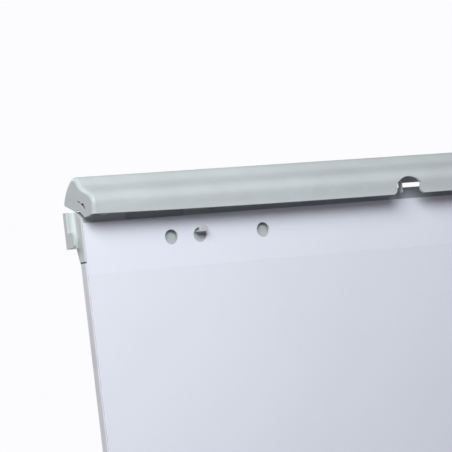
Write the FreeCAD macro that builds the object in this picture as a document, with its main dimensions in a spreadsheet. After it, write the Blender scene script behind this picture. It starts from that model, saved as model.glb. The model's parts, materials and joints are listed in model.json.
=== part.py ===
"""A tripod flipchart easel: leaning board with a paper pad, clamp rail, pen tray and three legs."""
import FreeCAD, Part
import math
import os
import Sketcher

V = FreeCAD.Vector
X_AXIS = V(1, 0, 0)
Y_AXIS = V(0, 1, 0)
Z_AXIS = V(0, 0, 1)
NOTHING = "0 mm"
TOUCH = 0.01  # faces nearer than this many millimetres count as touching

# Driving dimensions in millimetres and degrees. The board's own frame has its origin in the middle of
# the board's top front edge: x to the right, y towards the back, z up along the board.
DIMENSIONS = {
    # stance
    "top_height": 1830,
    "lean": 13,
    "rear_lean": 15,
    # board
    "board_half": 327.2,
    "board_depth": 9.9,
    "board_height": 1010,
    "cap_size": 44,
    "cap_depth": 13.2,
    "seam": 1.2,
    "beam_depth": 12.5,
    "beam_groove": 2,
    "groove_height": 37,
    "side_rail_width": 18,
    "panel_front": 1.5,
    "panel_thick": 6.6,
    "panel_edge": 5,
    # side hook of a top corner cap
    "hook_reach": 9.5,
    "hook_wall": 2,
    "hook_height": 31,
    "hook_high_part": 17.5,
    "hook_high_depth": 3,
    "hook_round": 3,
    "hook_step": 0.5,
    "hook_front": -1.7,
    "hook_hollow": 2.4,
    # clamp rail
    "pivot_y": 1.5,
    "pivot_z": 2.7,
    "rail_wall": 2.6,
    "rail_round": 3.2,
    "rib_thick": 1.6,
    "rib_pitch": 54,
    "rib_first": 16,
    "rib_nose": 7.2,
    "rib_low": 5.5,
    "rib_arch": 14,
    "slit_radius": 5.1,
    "slit_width": 1.2,
    "slit_from": 76,
    "slit_to": 156,
    "eye_length": 8.4,
    "eye_way": 221,
    "eye_above": 0.8,
    "eye_below": 3.2,
    "eye_recess": 5.2,
    "eye_wall": 0.9,
    "notch_width": 26,
    "notch_height": 15.8,
    "notch_flare": 4.5,
    "notch_crown": 6,
    "heel_height": 2,
    "heel_length": 6,
    "lip_end_drop": 5,
    "lip_belly_drop": 7.4,
    "lip_middle_drop": 8,
    "pin_radius": 2,
    "pin_play": 0.06,
    "socket_depth": 2.5,
    "socket_gap": 0.3,
    "lug_radius": 3.8,
    "lug_inset": 5,
    "lug_width": 5,
    "relief_width": 4.8,
    "relief_drop": 6,
    "relief_depth": 9.5,
    # paper pad
    "pad_half": 326.5,
    "pad_height": 990,
    "pad_drop": 10.6,
    "sheets_thick": 2,
    "card_thick": 0.5,
    "punch_radius": 6.5,
    "punch_drop": 17.8,
    "punch_outer": 241.9,
    "punch_middle": 213.1,
    "punch_inner": 148,
    # pad hook
    "peg_drop": 26.1,
    "peg_inset": 0.8,
    "peg_reach": 9.3,
    "stem_half": 4.1,
    "stem_height": 2.9,
    "stem_shoulder": 0.9,
    "head_wide": 8.4,
    "head_height": 5.6,
    "head_shoulder": 3,
    "head_thick": 2.2,
    "head_round": 0.7,
    "saddle_half": 13.5,
    "saddle_thick": 1.2,
    "saddle_gap": 0.4,
    "saddle_back_drop": 12,
    # legs
    "leg_offset": 256,
    "leg_axis_y": 28.5,
    "tube_radius": 12.5,
    "tube_wall": 1.2,
    "tube_top": 3,
    "tube_end": 1080,
    "inner_radius": 9.5,
    "inner_wall": 1.2,
    "inner_overlap": 185,
    "plug_height": 24,
    "plug_play": 0.3,
    "collar_radius": 16.5,
    "collar_above": 30,
    "collar_below": 20,
    "collar_play": 0.4,
    "collar_lip": 1,
    "collar_taper": 3,
    "boss_radius": 8.5,
    "boss_reach": 26,
    "screw_radius": 3,
    "screw_play": 0.06,
    "knob_radius": 16,
    "knob_thick": 13,
    "knob_lobes": 6,
    "scallop_radius": 8,
    "scallop_out": 20,
    "foot_radius": 15,
    "foot_height": 55,
    "foot_sole": 22,
    "foot_taper": 3,
    # fixings between legs and board
    "clip_half": 24,
    "clip_plate": 4,
    "clip_height": 34,
    "clip_radius": 16,
    "brace_thick": 4,
    "brace_width": 28,
    "brace_top": 1018,
    # rear hinge
    "hinge_y": 36,
    "hinge_drop": 24,
    "hinge_plate_half": 36,
    "cheek_inner": 19,
    "cheek_thick": 4,
    "cheek_radius": 11.5,
    "hinge_pin_radius": 4,
    "hinge_pin_head": 2.5,
    "head_half": 18.4,
    "head_radius": 13.5,
    "head_length": 40,
    "rear_tube_start": 22,
    "rear_tube_end": 1075,
    # pen tray
    "tray_half": 283,
    "tray_reach": 62,
    "tray_thick": 2.5,
    "tray_lip": 24,
    "tray_cap": 3,
    # fasteners
    "bolt_head_radius": 4.5,
    "bolt_head_thick": 2.2,
    "bolt_shank_radius": 2,
    "bolt_length": 10,
}

doc = FreeCAD.newDocument("flipchart_easel")
sheet = doc.addObject("Spreadsheet::Sheet", "dims")
for row, (alias, number) in enumerate(DIMENSIONS.items(), start=1):
    sheet.set(f"A{row}", alias)
    sheet.set(f"B{row}", str(number))
    sheet.setAlias(f"B{row}", alias)
doc.recompute()


def size(alias):
    """The sheet's present value of one dimension."""
    return float(sheet.get(alias))


def shifted(x, y, z):
    return FreeCAD.Placement(V(x, y, z), FreeCAD.Rotation())


def turned_about(axis, angle):
    return FreeCAD.Placement(V(0, 0, 0), FreeCAD.Rotation(axis, angle))


# --- stance: where the board's frame and the rear leg's frame stand on the floor ---------------------
def floor_reach(depth, drop, angle):
    """Forward shift of a point that lies at (depth, -drop) in a frame leaning by angle."""
    slope = math.radians(angle)
    return depth * math.cos(slope) - drop * math.sin(slope)


def front_leg_length():
    """Distance down the front leg's axis from the board's top edge to the floor."""
    slope = math.radians(size("lean"))
    return (size("top_height") - size("leg_axis_y") * math.sin(slope)) / math.cos(slope)


def hinge_height():
    slope = math.radians(size("lean"))
    return size("top_height") - size("hinge_y") * math.sin(slope) - size("hinge_drop") * math.cos(slope)


def rear_leg_length():
    return hinge_height() / math.cos(math.radians(size("rear_lean")))


def middle_of_stance():
    """Half way between the front edge of the front soles and the back edge of the rear sole."""
    front = floor_reach(size("leg_axis_y"), front_leg_length(), size("lean"))
    front -= size("foot_radius") / math.cos(math.radians(size("lean")))
    back = floor_reach(size("hinge_y"), size("hinge_drop"), size("lean"))
    back += rear_leg_length() * math.sin(math.radians(size("rear_lean")))
    back += size("foot_radius") / math.cos(math.radians(size("rear_lean")))
    return (front + back) / 2


BOARD = shifted(0, -middle_of_stance(), size("top_height")) * turned_about(X_AXIS, -size("lean"))
HINGE = BOARD * shifted(0, size("hinge_y"), -size("hinge_drop"))
REAR_LEG = FreeCAD.Placement(HINGE.Base, FreeCAD.Rotation(X_AXIS, size("rear_lean")))


def on_board(x=0, y=0, z=0):
    return BOARD * shifted(x, y, z)


def front_leg_frame(side):
    """Frame of a front leg: its z axis is the tube's, with z = 0 level with the board's top edge."""
    return on_board(side * size("leg_offset"), size("leg_axis_y"), 0)


# --- small helpers ---------------------------------------------------------------------------------
def bind(item, **expressions):
    for name, expression in expressions.items():
        item.setExpression(name, expression)


def new_sketch(body, plane):
    sketch = body.newObject("Sketcher::SketchObject", "Sketch")
    origin_planes = [feature for feature in body.Origin.OriginFeatures if feature.Role == plane]
    sketch.AttachmentSupport = (origin_planes[0], "")
    sketch.MapMode = "FlatFace"
    return sketch


def outline(body, plane, corners):
    """A closed outline of straight sides; both coordinates of each corner are bound to the sheet."""
    sketch = new_sketch(body, plane)
    count = len(corners)
    turns = [2 * math.pi * k / count for k in range(count)]
    ring = [V(math.cos(turn), math.sin(turn), 0) for turn in turns]
    for k in range(count):
        sketch.addGeometry(Part.LineSegment(ring[k], ring[(k + 1) % count]))
    for k in range(count):
        sketch.addConstraint(Sketcher.Constraint("Coincident", k, 2, (k + 1) % count, 1))
    for k, corner in enumerate(corners):
        for direction, expression in zip(("DistanceX", "DistanceY"), corner):
            number = sketch.addConstraint(Sketcher.Constraint(direction, -1, 1, k, 1, 1.0))
            sketch.setExpression(f"Constraints[{number}]", expression)
    return sketch


def circles(body, plane, holes):
    """A sketch of circles: each is (x, y, radius), bound to the sheet."""
    sketch = new_sketch(body, plane)
    for k, (x, y, radius) in enumerate(holes):
        sketch.addGeometry(Part.Circle(V(20.0 * k, 0, 0), Z_AXIS, 1.0))
        for kind, where, expression in (("DistanceX", 3, x), ("DistanceY", 3, y)):
            number = sketch.addConstraint(Sketcher.Constraint(kind, -1, 1, k, where, 1.0))
            sketch.setExpression(f"Constraints[{number}]", expression)
        number = sketch.addConstraint(Sketcher.Constraint("Radius", k, 1.0))
        sketch.setExpression(f"Constraints[{number}]", radius)
    return sketch


def new_body(label, place):
    body = doc.addObject("PartDesign::Body", "Body")
    body.Label = label
    body.Placement = place
    return body


def pad(body, sketch, length, side="One side"):
    feature = body.newObject("PartDesign::Pad", "Pad")
    feature.Profile = sketch
    feature.SideType = side
    feature.setExpression("Length", length)
    return feature


def pocket(body, sketch, depth, side="One side", towards_plus=False):
    """Pockets a sketch into a body and makes sure that something was removed."""
    doc.recompute()
    before = body.Shape.Volume
    feature = body.newObject("PartDesign::Pocket", "Pocket")
    feature.Profile = sketch
    feature.SideType = side
    feature.Reversed = towards_plus
    feature.setExpression("Length", depth)
    doc.recompute()
    if body.Shape.Volume >= before:
        raise RuntimeError(f"a pocket of {body.Label} removed nothing")


def soften(body, radius, chosen):
    """Rounds the edges of a body's tip that the test function picks."""
    doc.recompute()
    tip = body.Tip
    names = [f"Edge{k}" for k, edge in enumerate(tip.Shape.Edges, start=1) if chosen(edge)]
    feature = body.newObject("PartDesign::Fillet", "Softened")
    feature.Base = (tip, names)
    feature.setExpression("Radius", radius)
    doc.recompute()


def runs_along(edge, axis):
    ends = [vertex.Point for vertex in edge.Vertexes]
    if len(ends) < 2:
        return False
    return abs(abs((ends[1] - ends[0]).normalize().dot(axis)) - 1) < 1e-6


def profile_bar(label, plane, corners, length, place, side="Symmetric"):
    body = new_body(label, place)
    pad(body, outline(body, plane, corners), length, side)
    return body


def turned_piece(label, corners, place):
    """A body turned about its own z axis from a half section in (radius, height)."""
    body = new_body(label, place)
    feature = body.newObject("PartDesign::Revolution", "Revolution")
    sketch = outline(body, "XZ_Plane", corners)
    feature.Profile = sketch
    feature.ReferenceAxis = (sketch, ["V_Axis"])
    feature.Angle = 360
    return body


def box(length, width, height, place):
    item = doc.addObject("Part::Box", "Box")
    bind(item, Length=length, Width=width, Height=height)
    item.Placement = place
    return item


def rod(radius, length, place):
    item = doc.addObject("Part::Cylinder", "Rod")
    bind(item, Radius=radius, Height=length)
    item.Placement = place
    return item


def along_x(x, y, z):
    """Placement that lays a rod along +X from the given point."""
    return shifted(x, y, z) * turned_about(Y_AXIS, 90)


def fuse(label, items, place=None):
    item = doc.addObject("Part::MultiFuse", "Joined")
    item.Shapes = items
    item.Label = label
    if place is not None:
        item.Placement = place
    return item


def cut(label, base, tools, place=None):
    tool = tools[0]
    if len(tools) > 1:
        tool = fuse(label + "_tools", tools)
    item = doc.addObject("Part::Cut", "CutPiece")
    item.Base = base
    item.Tool = tool
    item.Label = label
    if place is not None:
        item.Placement = place
    return item


def mirrored(label, source):
    """The twin of a piece on the other side of the easel."""
    item = doc.addObject("Part::Mirroring", "Twin")
    item.Source = source
    item.Normal = X_AXIS
    item.Label = label
    return item


def group(label, shapes, place):
    """Several separate identical solids that share one node."""
    item = doc.addObject("Part::Feature", "Group")
    item.Shape = Part.makeCompound(shapes)
    item.Label = label
    item.Placement = place
    return item


def bolt(point, direction, length):
    """A pan-head screw: the head sits on the given point and the shank runs along direction."""
    head_radius = size("bolt_head_radius")
    head_thick = size("bolt_head_thick")
    head = Part.makeCylinder(head_radius, head_thick, point - direction * head_thick, direction)
    rim = [edge for edge in head.Edges if edge.CenterOfMass.distanceToPoint(point) > head_thick / 2]
    dome = head_thick * 0.6
    head = head.makeFillet(dome, [edge for edge in rim if len(edge.Vertexes) == 1])
    return head.fuse(Part.makeCylinder(size("bolt_shank_radius"), length, point, direction)).removeSplitter()


# --- board -------------------------------------------------------------------------------------------
def board_panel():
    half = "dims.board_half - dims.panel_edge"
    front = "dims.panel_front"
    back = "dims.panel_front + dims.panel_thick"
    corners = [(f"-({half})", front), (half, front), (half, back), (f"-({half})", back)]
    return profile_bar("board_panel", "XY_Plane", corners,
                       "dims.board_height - 2 * (dims.cap_size + dims.seam)",
                       on_board(z=-size("board_height") / 2))


def side_rail_left():
    """A channel that opens inwards and takes the edge of the panel."""
    back = "dims.board_depth"
    slot_x = "dims.panel_edge"
    slot_front = "dims.panel_front"
    slot_back = "dims.panel_front + dims.panel_thick"
    edge = "dims.side_rail_width"
    corners = [(NOTHING, NOTHING), (edge, NOTHING), (edge, slot_front), (slot_x, slot_front),
               (slot_x, slot_back), (edge, slot_back), (edge, back), (NOTHING, back)]
    body = profile_bar("side_rail_left", "XY_Plane", corners,
                       "dims.board_height - 2 * (dims.cap_size + dims.seam / 2)",
                       on_board(-size("board_half"), 0, -size("board_height") / 2))
    soften(body, "dims.rail_wall * 0.6",
           lambda edge: runs_along(edge, Z_AXIS) and edge.CenterOfMass.x < TOUCH)
    return body


def seam_gaskets():
    """Thin black seals between the four corner caps and the ends of the side rails."""
    inset = size("seam") / 4
    wide = size("side_rail_width") - inset
    deep = size("board_depth") - 2 * inset
    plates = []
    for x in (-size("board_half") + inset, size("board_half") - inset - wide):
        for z in (-size("cap_size"), size("cap_size") - size("board_height")):
            plates.append(Part.makeBox(wide, deep, size("seam"), V(x, inset, z - size("seam") / 2)))
    return group("seam_gaskets", plates, BOARD)


def cross_beam(label, place):
    """Beam between two corner caps, with a groove in its face for the tongues of the pad hooks."""
    deep = "dims.beam_depth"
    groove = "dims.beam_groove"
    drop = "-dims.groove_height"
    foot = "-(dims.cap_size + dims.seam / 2)"
    corners = [(groove, NOTHING), (deep, NOTHING), (deep, foot), (NOTHING, foot), (NOTHING, drop),
               (groove, drop)]
    return profile_bar(label, "YZ_Plane", corners, "2 * (dims.board_half - dims.cap_size)", place)


def corner_cap(label):
    """Moulded corner of the board: a tapered block with a rounded outer front edge."""
    deep = "dims.cap_depth"
    low = "-(dims.cap_size - dims.seam / 2)"
    waist = "-dims.hook_height"
    body = new_body(label, on_board(-size("board_half"), 0, 0))
    corners = [(NOTHING, NOTHING), (deep, NOTHING), (deep, waist), ("dims.board_depth", low), (NOTHING, low)]
    pad(body, outline(body, "YZ_Plane", corners), "dims.cap_size")
    soften(body, "dims.hook_wall", lambda edge: edge.CenterOfMass.x < TOUCH and edge.CenterOfMass.y < TOUCH)
    return body


def add_pad(body, plane, corners, length, offset=None, flip=False):
    sketch = outline(body, plane, corners)
    if offset is not None:
        sketch.setExpression(".AttachmentOffset.Base.z", offset)
    feature = pad(body, sketch, length)
    feature.Reversed = flip
    return feature


def add_side_hook(body):
    """A pocket open at the top and bottom: back plate, outer flange and a high cheek before the flange."""
    root = "dims.hook_wall / 4"
    out = "-dims.hook_reach"
    inside = "-(dims.hook_reach - dims.hook_wall)"
    back = "dims.cap_depth"
    plate = "dims.cap_depth - dims.hook_wall"
    flange = "dims.cap_depth - dims.hook_wall - dims.hook_high_depth"
    hook = [(root, back), (out, back), (out, flange), (inside, flange), (inside, plate), (root, plate)]
    add_pad(body, "XY_Plane", hook, "dims.hook_height", flip=True)
    soften(body, "dims.hook_hollow",
           lambda edge: runs_along(edge, Z_AXIS)
           and abs(edge.CenterOfMass.y - size("cap_depth") + size("hook_wall")) < TOUCH)
    front = "dims.hook_front"
    step_back = f"{flange} + dims.hook_wall / 2"
    cheek = [(front, "-dims.hook_high_part"), (step_back, "-dims.hook_high_part"),
             (step_back, "-dims.hook_height"), (front, "-dims.hook_height")]
    add_pad(body, "YZ_Plane", cheek, "dims.hook_wall", "-(dims.hook_reach + dims.hook_step)")
    soften(body, "dims.hook_round",
           lambda edge: runs_along(edge, X_AXIS) and edge.CenterOfMass.x < -size("hook_wall")
           and edge.CenterOfMass.y < size("hook_wall"))


def add_clamp_lug(body):
    """The lug on top of a corner cap that carries the clamp rail's pivot pin."""
    start = "dims.lug_inset"
    root = "-dims.seam"
    lug_foot = [(NOTHING, root), ("2 * dims.lug_radius", root),
                ("dims.pivot_y + dims.lug_radius", "dims.pivot_z"), (NOTHING, "dims.pivot_z")]
    add_pad(body, "YZ_Plane", lug_foot, "dims.lug_width", start)
    eye = circles(body, "YZ_Plane", [("dims.pivot_y", "dims.pivot_z", "dims.lug_radius")])
    eye.setExpression(".AttachmentOffset.Base.z", start)
    pad(body, eye, "dims.lug_width")
    bore = circles(body, "YZ_Plane", [("dims.pivot_y", "dims.pivot_z", "dims.pin_radius")])
    bore.setExpression(".AttachmentOffset.Base.z", start)
    pocket(body, bore, "dims.lug_width", towards_plus=True)


def corner_top_left():
    """Top corner cap, cut away where the clamp rail's end wall swings, with its side hook and lug."""
    body = corner_cap("corner_top_left")
    above = "dims.relief_drop / dims.relief_depth * dims.seam"
    relief = [("-dims.seam", f"-dims.relief_drop - {above}"),
              ("dims.relief_depth + dims.seam", above), ("-dims.seam", above)]
    pocket(body, outline(body, "YZ_Plane", relief), "dims.relief_width", towards_plus=True)
    add_side_hook(body)
    add_clamp_lug(body)
    return body


def corner_bottom_right():
    """The same moulding without a hook, turned end for end."""
    body = corner_cap("corner_bottom_right")
    body.Placement = on_board(size("board_half"), 0, -size("board_height")) * turned_about(Y_AXIS, 180)
    return body


def pivot_pin_left():
    start = size("seam") - size("board_half")
    length = "dims.lug_inset + dims.lug_width - dims.seam"
    pin = rod("dims.pin_radius", length, on_board() * along_x(start, size("pivot_y"), size("pivot_z")))
    pin.Label = "pivot_pin_left"
    return pin


# --- clamp rail --------------------------------------------------------------------------------------
# The outer skin in (y, z), from the bottom of the back over the ridge and the nose to the lip.
SKIN = [(29.2, 6.5), (24.4, 16.6), (17.4, 24.2), (10.0, 28.7), (5.7, 29.4), (2.6, 27.9), (-2.2, 22.4),
        (-10.8, 17.1), (-19.5, 12.4), (-23.6, 6.0), (-23.2, 0), (-22.5, -8)]
# The open underside of an end wall: lip, keel in front of the pad, notch over the board's edge, back.
END_WALL_FOOT = [(-19.5, -8), (-19.5, -5.2), (-7.3, -6.4), (-4.2, -4.0), (2.4, 0.8), (8.9, 0.5), (24.8, 6.5)]


def skin_curve(depth):
    """The skin's curve, or the curve that runs a given depth inside it."""
    curve = Part.BSplineCurve()
    curve.interpolate([V(0, y, z) for y, z in SKIN])
    if depth == 0:
        return curve
    inner = []
    samples = 48
    for k in range(samples + 1):
        at = curve.FirstParameter + (curve.LastParameter - curve.FirstParameter) * k / samples
        along = curve.tangent(at)[0]
        inner.append(curve.value(at) - along.cross(X_AXIS).normalize() * depth)
    offset = Part.BSplineCurve()
    offset.interpolate(inner)
    return offset


def section_face(depth, foot):
    curve = skin_curve(depth)
    end = curve.value(curve.LastParameter)
    start = curve.value(curve.FirstParameter)
    corners = [end] + [V(0, y, z) for y, z in foot] + [start]
    lines = [Part.LineSegment(a, b).toShape() for a, b in zip(corners, corners[1:])]
    return Part.Face(Part.Wire([curve.toShape()] + lines))


def prism(points, direction):
    return Part.Face(Part.makePolygon(points + points[:1])).extrude(direction)


def rail_blank():
    """The rail as a full solid, its ends rounded over."""
    half = size("board_half")
    face = section_face(0, END_WALL_FOOT)
    face.translate(V(-half, 0, 0))
    solid = face.extrude(V(2 * half, 0, 0))
    ends = [edge for edge in solid.Edges if abs(abs(edge.CenterOfMass.x) - half) < TOUCH]
    skin_edges = [edge for edge in ends if isinstance(edge.Curve, Part.BSplineCurve)]
    return solid.makeFillet(size("rail_round"), skin_edges)


def rail_cavity():
    """Everything that is hollow between the two end walls."""
    inner = size("board_half") - size("rail_wall")
    below = -2 * size("pad_drop")
    curve = skin_curve(size("rail_wall"))
    start = curve.value(curve.FirstParameter)
    end = curve.value(curve.LastParameter)
    face = section_face(size("rail_wall"), [(end.y, below), (start.y, below)])
    face.translate(V(-inner, 0, 0))
    return face.extrude(V(2 * inner, 0, 0))


def rail_ribs():
    """Cross ribs, arched over the board's edge: a row on either side and one in the middle."""
    thick = size("rib_thick")
    curve = skin_curve(size("rail_wall") / 2)
    start = curve.value(curve.FirstParameter)
    end = curve.value(curve.LastParameter)
    face = section_face(size("rail_wall") / 2, [(end.y, end.z - 1), (start.y, end.z - 1)])
    nose = -size("rib_nose")
    low = -size("rib_low")
    arch = size("rib_arch")
    reach = 2 * size("cap_size")
    region = [V(0, -reach, low), V(0, nose, low), V(0, nose, arch), V(0, reach, arch), V(0, reach, reach),
              V(0, -reach, reach)]
    rib = face.extrude(V(thick, 0, 0)).common(prism(region, V(thick, 0, 0)))
    middle = rib.copy()
    middle.translate(V(-thick / 2, 0, 0))
    ribs = [middle]
    x = size("board_half") - size("rib_first")
    while x > size("notch_width"):
        for side in (-1, 1):
            copy = rib.copy()
            copy.translate(V(side * x - thick / 2, 0, 0))
            ribs.append(copy)
        x -= size("rib_pitch")
    return ribs


# The cutters of the lip start this far in front of the board and reach this far back.
BEFORE_LIP = -30
LIP_CUT = 12


def lip_wave():
    """Cuts the lip's lower edge to a long wave that dips between the ends and the middle."""
    half = size("board_half") + size("seam")
    ends = -size("lip_end_drop")
    belly = -size("lip_belly_drop")
    middle = -size("lip_middle_drop")
    y = BEFORE_LIP
    wave = Part.BSplineCurve()
    wave.interpolate([V(-half, y, ends), V(-half / 2, y, belly), V(0, y, middle), V(half / 2, y, belly),
                      V(half, y, ends)])
    corners = [V(half, y, ends), V(half, y, y), V(-half, y, y), V(-half, y, ends)]
    lines = [Part.LineSegment(a, b).toShape() for a, b in zip(corners, corners[1:])]
    return Part.Face(Part.Wire([wave.toShape()] + lines)).extrude(V(0, LIP_CUT, 0))


def heel_cut():
    """Takes the back wall's bottom corner off beside an end, where it passes the board's corner cap."""
    start_y, start_z = SKIN[0]
    top = start_z + size("heel_height")
    line_start = V(-size("board_half") - size("seam"), END_WALL_FOOT[-2][0], END_WALL_FOOT[-2][1])
    below = line_start.z - size("heel_height")
    points = [line_start, V(line_start.x, start_y - size("rail_wall"), top - size("seam") / 2),
              V(line_start.x, start_y + size("seam"), top), V(line_start.x, start_y + size("seam"), below),
              V(line_start.x, line_start.y, below)]
    return prism(points, V(size("heel_length"), 0, 0))


def finger_notch():
    """An arch through the lip with flared feet, for the finger that lifts the rail."""
    half = size("notch_width") / 2
    flare = size("notch_flare")
    foot = -size("lip_middle_drop")
    top = foot + size("notch_height")
    shoulder = top - size("notch_crown")
    y = BEFORE_LIP
    bulge = flare * (1 - math.sqrt(0.5))
    left = [V(-half - flare, y, foot), V(-half - bulge, y, foot + bulge), V(-half, y, foot + flare)]
    right = [V(-p.x, y, p.z) for p in reversed(left)]
    edges = [Part.Arc(*left).toShape(),
             Part.LineSegment(left[2], V(-half, y, shoulder)).toShape(),
             Part.Arc(V(-half, y, shoulder), V(0, y, top), V(half, y, shoulder)).toShape(),
             Part.LineSegment(V(half, y, shoulder), right[0]).toShape(),
             Part.Arc(*right).toShape()]
    under = [right[2], V(right[2].x, y, y), V(left[0].x, y, y), left[0]]
    edges += [Part.LineSegment(a, b).toShape() for a, b in zip(under, under[1:])]
    return Part.Face(Part.Wire(edges)).extrude(V(0, LIP_CUT + 1.5 * size("notch_flare"), 0))


def around_pivot(radius, degrees):
    turn = math.radians(degrees)
    return V(0, size("pivot_y") + radius * math.cos(turn), size("pivot_z") + radius * math.sin(turn))


def tongue_slit():
    """The slit that frees a snap tongue in an end wall: an arc round the pivot that ends in a long eye.

    The second solid is the recess behind the eye, where the wall is thinner.
    """
    inner = size("slit_radius") - size("slit_width") / 2
    outer = size("slit_radius") + size("slit_width") / 2
    first = size("slit_from")
    last = size("slit_to")
    middle = (first + last) / 2
    inside = [around_pivot(inner, turn) for turn in (first, middle, last)]
    outside = [around_pivot(outer, turn) for turn in (last, middle, first)]
    arc_edges = [Part.Arc(*inside).toShape(), Part.LineSegment(inside[2], outside[0]).toShape(),
                 Part.Arc(*outside).toShape(), Part.LineSegment(outside[2], inside[0]).toShape()]
    turn = math.radians(size("eye_way"))
    along = V(0, math.cos(turn), math.sin(turn))
    across = along.cross(X_AXIS)
    start = around_pivot(size("slit_radius"), last) - along * size("slit_width") / 2
    end = start + along * size("eye_length")
    centre = (start + end) / 2
    eye_edges = [Part.Arc(start, centre - across * size("eye_above"), end).toShape(),
                 Part.Arc(end, centre + across * size("eye_below"), start).toShape()]
    outside_wall = -size("board_half") - size("seam")
    through = V(size("seam") + size("rail_wall") + size("slit_width"), 0, 0)
    arc, eye = [Part.Face(Part.Wire(edges)).extrude(through) for edges in (arc_edges, eye_edges)]
    slit = arc.fuse(eye)
    slit.translate(V(outside_wall, 0, 0))
    thinned = Part.makeCylinder(size("eye_recess"), 2 * size("rail_wall"), centre, X_AXIS)
    thinned.translate(V(size("eye_wall") - size("board_half"), 0, 0))
    return slit, thinned


def pin_socket(side):
    """The boss behind an end wall and the blind bore in it."""
    wall_inside = size("board_half") - size("rail_wall")
    depth = size("socket_depth")
    in_wall = V(side * (wall_inside + size("rail_wall") / 5), size("pivot_y"), size("pivot_z"))
    boss_radius = size("slit_radius") - size("slit_width") / 2 - size("socket_gap")
    boss = Part.makeCylinder(boss_radius, depth, in_wall, X_AXIS * -side)
    mouth = V(side * (wall_inside - depth), size("pivot_y"), size("pivot_z"))
    bore = Part.makeCylinder(size("pin_radius") + size("pin_play"), depth + size("rail_wall") * 0.7, mouth,
                             X_AXIS * side)
    return boss, bore


def clamp_rail():
    slit, thinned = tongue_slit()
    solid = rail_blank().cut([rail_cavity(), thinned, thinned.mirror(V(0, 0, 0), X_AXIS)])
    solid = solid.fuse(rail_ribs())
    heel = heel_cut()
    cutters = [lip_wave(), finger_notch(), slit, slit.mirror(V(0, 0, 0), X_AXIS),
               heel, heel.mirror(V(0, 0, 0), X_AXIS)]
    for side in (-1, 1):
        boss, bore = pin_socket(side)
        solid = solid.fuse(boss)
        cutters.append(bore)
    solid = solid.cut(cutters).removeSplitter()
    item = doc.addObject("Part::Feature", "ClampRail")
    item.Shape = solid
    item.Label = "clamp_rail"
    item.Placement = BOARD
    return item


# --- pad and its hooks -------------------------------------------------------------------------------
def punched_layer(label, front, thick):
    """One layer of the pad with the six holes of the usual flipchart punching."""
    half = "dims.pad_half"
    top = "-dims.pad_drop"
    low = "-(dims.pad_drop + dims.pad_height)"
    body = new_body(label, on_board(0, front, 0))
    corners = [(f"-{half}", top), (half, top), (half, low), (f"-{half}", low)]
    layer = pad(body, outline(body, "XZ_Plane", corners), thick)
    layer.Reversed = True
    row = "-(dims.pad_drop + dims.punch_drop)"
    places = ["-dims.punch_outer", "-dims.punch_middle", "-dims.punch_inner", "dims.punch_inner",
              "dims.punch_middle", "dims.punch_outer"]
    holes = circles(body, "XZ_Plane", [(x, row, "dims.punch_radius") for x in places])
    pocket(body, holes, f"4 * {thick}", side="Symmetric")
    return body


def hook_saddle():
    """Folded strip that rides on the top beam, with a tongue in the beam's groove behind the pad."""
    body = new_body("hook_saddle", FreeCAD.Placement())
    gap = "dims.saddle_gap"
    thick = "dims.saddle_thick"
    back = "dims.cap_depth + dims.saddle_gap / 2"
    low = "-(dims.groove_height - 2 * dims.saddle_gap)"
    corners = [(gap, low), (gap, f"{gap} + {thick}"), (f"{back} + {thick}", f"{gap} + {thick}"),
               (f"{back} + {thick}", "-dims.saddle_back_drop"), (back, "-dims.saddle_back_drop"), (back, gap),
               (f"{gap} + {thick}", gap), (f"{gap} + {thick}", low)]
    pad(body, outline(body, "YZ_Plane", corners), "2 * dims.saddle_half", "Symmetric")
    return body


def peg_shape(wide, high, shoulder, length):
    """A prism along the Y axis, flat underneath and arched on top, starting at the peg's front."""
    front = -size("peg_reach")
    low = -size("peg_drop")
    half = wide / 2
    arch = Part.Arc(V(-half, front, low + shoulder), V(0, front, low + high), V(half, front, low + shoulder))
    corners = [V(half, front, low + shoulder), V(half, front, low), V(-half, front, low),
               V(-half, front, low + shoulder)]
    sides = [Part.LineSegment(a, b).toShape() for a, b in zip(corners, corners[1:])]
    return Part.Face(Part.Wire([arch.toShape()] + sides)).extrude(V(0, length, 0))


def pad_hook_left():
    """Saddle with a peg that stands out through the pad's hole and hooks over its edge."""
    stem = peg_shape(2 * size("stem_half"), size("stem_height"), size("stem_shoulder"),
                     size("peg_reach") + 2 * size("saddle_gap"))
    head = peg_shape(size("head_wide"), size("head_height"), size("head_shoulder"), size("head_thick"))
    rim = [edge for edge in head.Edges if abs(edge.CenterOfMass.y + size("peg_reach")) < TOUCH]
    head = head.makeFillet(size("head_round"), rim)
    peg = doc.addObject("Part::Feature", "Peg")
    peg.Shape = head.fuse(stem).removeSplitter()
    return fuse("pad_hook_left", [hook_saddle(), peg],
                on_board(size("peg_inset") - size("punch_middle"), 0, 0))


# --- pen tray ----------------------------------------------------------------------------------------
def pen_tray():
    """A folded shelf under the board with an upturned, hemmed front lip."""
    top = "-dims.board_height"
    low = "-(dims.board_height + dims.tray_thick)"
    front = "-dims.tray_reach"
    inner = "-(dims.tray_reach - dims.tray_thick)"
    hem = "-(dims.tray_reach - 2 * dims.tray_thick)"
    lip = "-(dims.board_height - dims.tray_lip)"
    hem_low = "-(dims.board_height - dims.tray_lip + 2 * dims.tray_thick)"
    back = "dims.board_depth"
    corners = [(back, top), (inner, top), (inner, hem_low), (hem, hem_low), (hem, lip), (front, lip),
               (front, low), (back, low)]
    body = profile_bar("pen_tray", "YZ_Plane", corners, "2 * dims.tray_half", BOARD)
    soften(body, "dims.tray_thick * 0.8",
           lambda edge: runs_along(edge, X_AXIS) and edge.CenterOfMass.y < TOUCH - size("tray_reach"))
    return body


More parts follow.
